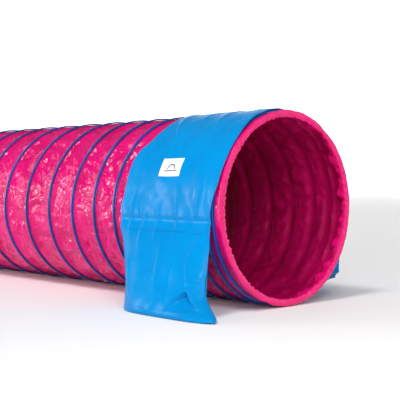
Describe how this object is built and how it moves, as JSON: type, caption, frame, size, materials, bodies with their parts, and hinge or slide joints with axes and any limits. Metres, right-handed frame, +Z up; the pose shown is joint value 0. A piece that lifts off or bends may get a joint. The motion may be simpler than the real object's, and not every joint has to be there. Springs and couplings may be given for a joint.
{
  "type": "dog agility tunnel",
  "caption": "Dog agility tunnel: a coated cloth tube held open by a helical spring wire that folds flat along its length, with a sandbag saddle draped over the exit end.",
  "frame": {"origin": "middle of the whole object's box, on the floor", "axes": "+X along the tunnel towards the exit that the saddle is near, -Y the near side, +Z up"},
  "size_m": [2.088, 0.86, 0.6182],
  "materials": {
    "tunnel_cloth": "coated cloth, glossy and crinkled",
    "cuff_cloth": "coated cloth, rolled hem",
    "wear_strip": "coated webbing, glossy",
    "saddle_cloth": "heavy coated cloth, semi-gloss",
    "spring_steel": "plain spring wire",
    "sand": "dry sand",
    "label": "sewn white patch"
  },
  "bodies": {
    "exit_end": {"exit_cuff": "cuff_cloth", "exit_end_ring": "spring_steel", "exit_fabric": "tunnel_cloth", "exit_wear_strip": "wear_strip", "exit_spring_wire": "spring_steel"},
    "turn_01": {"fabric_bay_01": "tunnel_cloth", "wear_strip_01": "wear_strip", "spring_wire_01": "spring_steel"},
    "turn_02": {"fabric_bay_02": "tunnel_cloth", "wear_strip_02": "wear_strip", "spring_wire_02": "spring_steel"},
    "turn_03": {"fabric_bay_03": "tunnel_cloth", "wear_strip_03": "wear_strip", "spring_wire_03": "spring_steel"},
    "turn_04": {"fabric_bay_04": "tunnel_cloth", "wear_strip_04": "wear_strip", "spring_wire_04": "spring_steel"},
    "turn_05": {"fabric_bay_05": "tunnel_cloth", "wear_strip_05": "wear_strip", "spring_wire_05": "spring_steel"},
    "turn_06": {"fabric_bay_06": "tunnel_cloth", "wear_strip_06": "wear_strip", "spring_wire_06": "spring_steel"},
    "turn_07": {"fabric_bay_07": "tunnel_cloth", "wear_strip_07": "wear_strip", "spring_wire_07": "spring_steel"},
    "turn_08": {"fabric_bay_08": "tunnel_cloth", "wear_strip_08": "wear_strip", "spring_wire_08": "spring_steel"},
    "turn_09": {"fabric_bay_09": "tunnel_cloth", "wear_strip_09": "wear_strip", "spring_wire_09": "spring_steel"},
    "turn_10": {"fabric_bay_10": "tunnel_cloth", "wear_strip_10": "wear_strip", "spring_wire_10": "spring_steel"},
    "turn_11": {"fabric_bay_11": "tunnel_cloth", "wear_strip_11": "wear_strip", "spring_wire_11": "spring_steel"},
    "turn_12": {"fabric_bay_12": "tunnel_cloth", "wear_strip_12": "wear_strip", "spring_wire_12": "spring_steel"},
    "turn_13": {"fabric_bay_13": "tunnel_cloth", "wear_strip_13": "wear_strip", "spring_wire_13": "spring_steel"},
    "turn_14": {"fabric_bay_14": "tunnel_cloth", "wear_strip_14": "wear_strip", "spring_wire_14": "spring_steel"},
    "far_end": {"far_cuff": "cuff_cloth", "far_end_ring": "spring_steel", "far_fabric": "tunnel_cloth", "far_wear_strip": "wear_strip", "far_spring_wire": "spring_steel"},
    "saddle": {"saddle_panel": "saddle_cloth", "label_patch": "label"},
    "near_leg": {"near_bag": "saddle_cloth", "near_sand": "sand"},
    "far_leg": {"far_bag": "saddle_cloth", "far_sand": "sand"},
    "near_flap": {"near_flap": "saddle_cloth"},
    "far_flap": {"far_flap": "saddle_cloth"}
  },
  "joints": [
    {"name": "tunnel_closes", "type": "slide", "parent": "exit_end", "child": "far_end", "axis": [1, 0, 0], "range_m": [0, 1.546]},
    {"name": "turn_01_gathers", "type": "slide", "parent": "exit_end", "child": "turn_01", "axis": [1, 0, 0], "range_m": [0, 0.0715], "deforming": ["fabric_bay_01", "wear_strip_01", "spring_wire_01"]},
    {"name": "turn_02_gathers", "type": "slide", "parent": "exit_end", "child": "turn_02", "axis": [1, 0, 0], "range_m": [0, 0.153], "deforming": ["fabric_bay_02", "wear_strip_02", "spring_wire_02"]},
    {"name": "turn_03_gathers", "type": "slide", "parent": "exit_end", "child": "turn_03", "axis": [1, 0, 0], "range_m": [0, 0.2345], "deforming": ["fabric_bay_03", "wear_strip_03", "spring_wire_03"]},
    {"name": "turn_04_gathers", "type": "slide", "parent": "exit_end", "child": "turn_04", "axis": [1, 0, 0], "range_m": [0, 0.32], "deforming": ["fabric_bay_04", "wear_strip_04", "spring_wire_04"]},
    {"name": "turn_05_gathers", "type": "slide", "parent": "exit_end", "child": "turn_05", "axis": [1, 0, 0], "range_m": [0, 0.4115], "deforming": ["fabric_bay_05", "wear_strip_05", "spring_wire_05"]},
    {"name": "turn_06_gathers", "type": "slide", "parent": "exit_end", "child": "turn_06", "axis": [1, 0, 0], "range_m": [0, 0.523], "deforming": ["fabric_bay_06", "wear_strip_06", "spring_wire_06"]},
    {"name": "turn_07_gathers", "type": "slide", "parent": "exit_end", "child": "turn_07", "axis": [1, 0, 0], "range_m": [0, 0.65087], "deforming": ["fabric_bay_07", "wear_strip_07", "spring_wire_07"]},
    {"name": "turn_08_gathers", "type": "slide", "parent": "exit_end", "child": "turn_08", "axis": [1, 0, 0], "range_m": [0, 0.77875], "deforming": ["fabric_bay_08", "wear_strip_08", "spring_wire_08"]},
    {"name": "turn_09_gathers", "type": "slide", "parent": "exit_end", "child": "turn_09", "axis": [1, 0, 0], "range_m": [0, 0.90663], "deforming": ["fabric_bay_09", "wear_strip_09", "spring_wire_09"]},
    {"name": "turn_10_gathers", "type": "slide", "parent": "exit_end", "child": "turn_10", "axis": [1, 0, 0], "range_m": [0, 1.0345], "deforming": ["fabric_bay_10", "wear_strip_10", "spring_wire_10"]},
    {"name": "turn_11_gathers", "type": "slide", "parent": "exit_end", "child": "turn_11", "axis": [1, 0, 0], "range_m": [0, 1.16237], "deforming": ["fabric_bay_11", "wear_strip_11", "spring_wire_11"]},
    {"name": "turn_12_gathers", "type": "slide", "parent": "exit_end", "child": "turn_12", "axis": [1, 0, 0], "range_m": [0, 1.29025], "deforming": ["fabric_bay_12", "wear_strip_12", "spring_wire_12"]},
    {"name": "turn_13_gathers", "type": "slide", "parent": "exit_end", "child": "turn_13", "axis": [1, 0, 0], "range_m": [0, 1.41813], "deforming": ["fabric_bay_13", "wear_strip_13", "spring_wire_13"]},
    {"name": "turn_14_gathers", "type": "slide", "parent": "exit_end", "child": "turn_14", "axis": [1, 0, 0], "range_m": [0, 1.546], "deforming": ["fabric_bay_14", "wear_strip_14", "spring_wire_14"]},
    {"name": "saddle_lifts_off", "type": "slide", "parent": "exit_end", "child": "saddle", "axis": [0, 0, 1], "range_m": [0, 0.65]},
    {"name": "near_leg_swings", "type": "hinge", "parent": "saddle", "child": "near_leg", "pos_m": [0.735, -0.311, 0.3067], "axis": [-1, 0, 0], "range_deg": [0, 70]},
    {"name": "far_leg_swings", "type": "hinge", "parent": "saddle", "child": "far_leg", "pos_m": [0.735, 0.311, 0.3067], "axis": [1, 0, 0], "range_deg": [0, 70]},
    {"name": "near_flap_opens", "type": "hinge", "parent": "near_leg", "child": "near_flap", "pos_m": [0.74, -0.3145, 0.292], "axis": [-1, 0, 0], "range_deg": [0, 110]},
    {"name": "far_flap_opens", "type": "hinge", "parent": "far_leg", "child": "far_flap", "pos_m": [0.73, 0.3145, 0.292], "axis": [1, 0, 0], "range_deg": [0, 110]}
  ],
  "couplings": [
    {"joint": "turn_01_gathers", "follows": "tunnel_closes", "ratio": 0.046248},
    {"joint": "turn_02_gathers", "follows": "tunnel_closes", "ratio": 0.098964},
    {"joint": "turn_03_gathers", "follows": "tunnel_closes", "ratio": 0.15168},
    {"joint": "turn_04_gathers", "follows": "tunnel_closes", "ratio": 0.20699},
    {"joint": "turn_05_gathers", "follows": "tunnel_closes", "ratio": 0.26617},
    {"joint": "turn_06_gathers", "follows": "tunnel_closes", "ratio": 0.33829},
    {"joint": "turn_07_gathers", "follows": "tunnel_closes", "ratio": 0.42101},
    {"joint": "turn_08_gathers", "follows": "tunnel_closes", "ratio": 0.50372},
    {"joint": "turn_09_gathers", "follows": "tunnel_closes", "ratio": 0.58643},
    {"joint": "turn_10_gathers", "follows": "tunnel_closes", "ratio": 0.66915},
    {"joint": "turn_11_gathers", "follows": "tunnel_closes", "ratio": 0.75186},
    {"joint": "turn_12_gathers", "follows": "tunnel_closes", "ratio": 0.83457},
    {"joint": "turn_13_gathers", "follows": "tunnel_closes", "ratio": 0.91729},
    {"joint": "turn_14_gathers", "follows": "tunnel_closes", "ratio": 1}
  ]
}
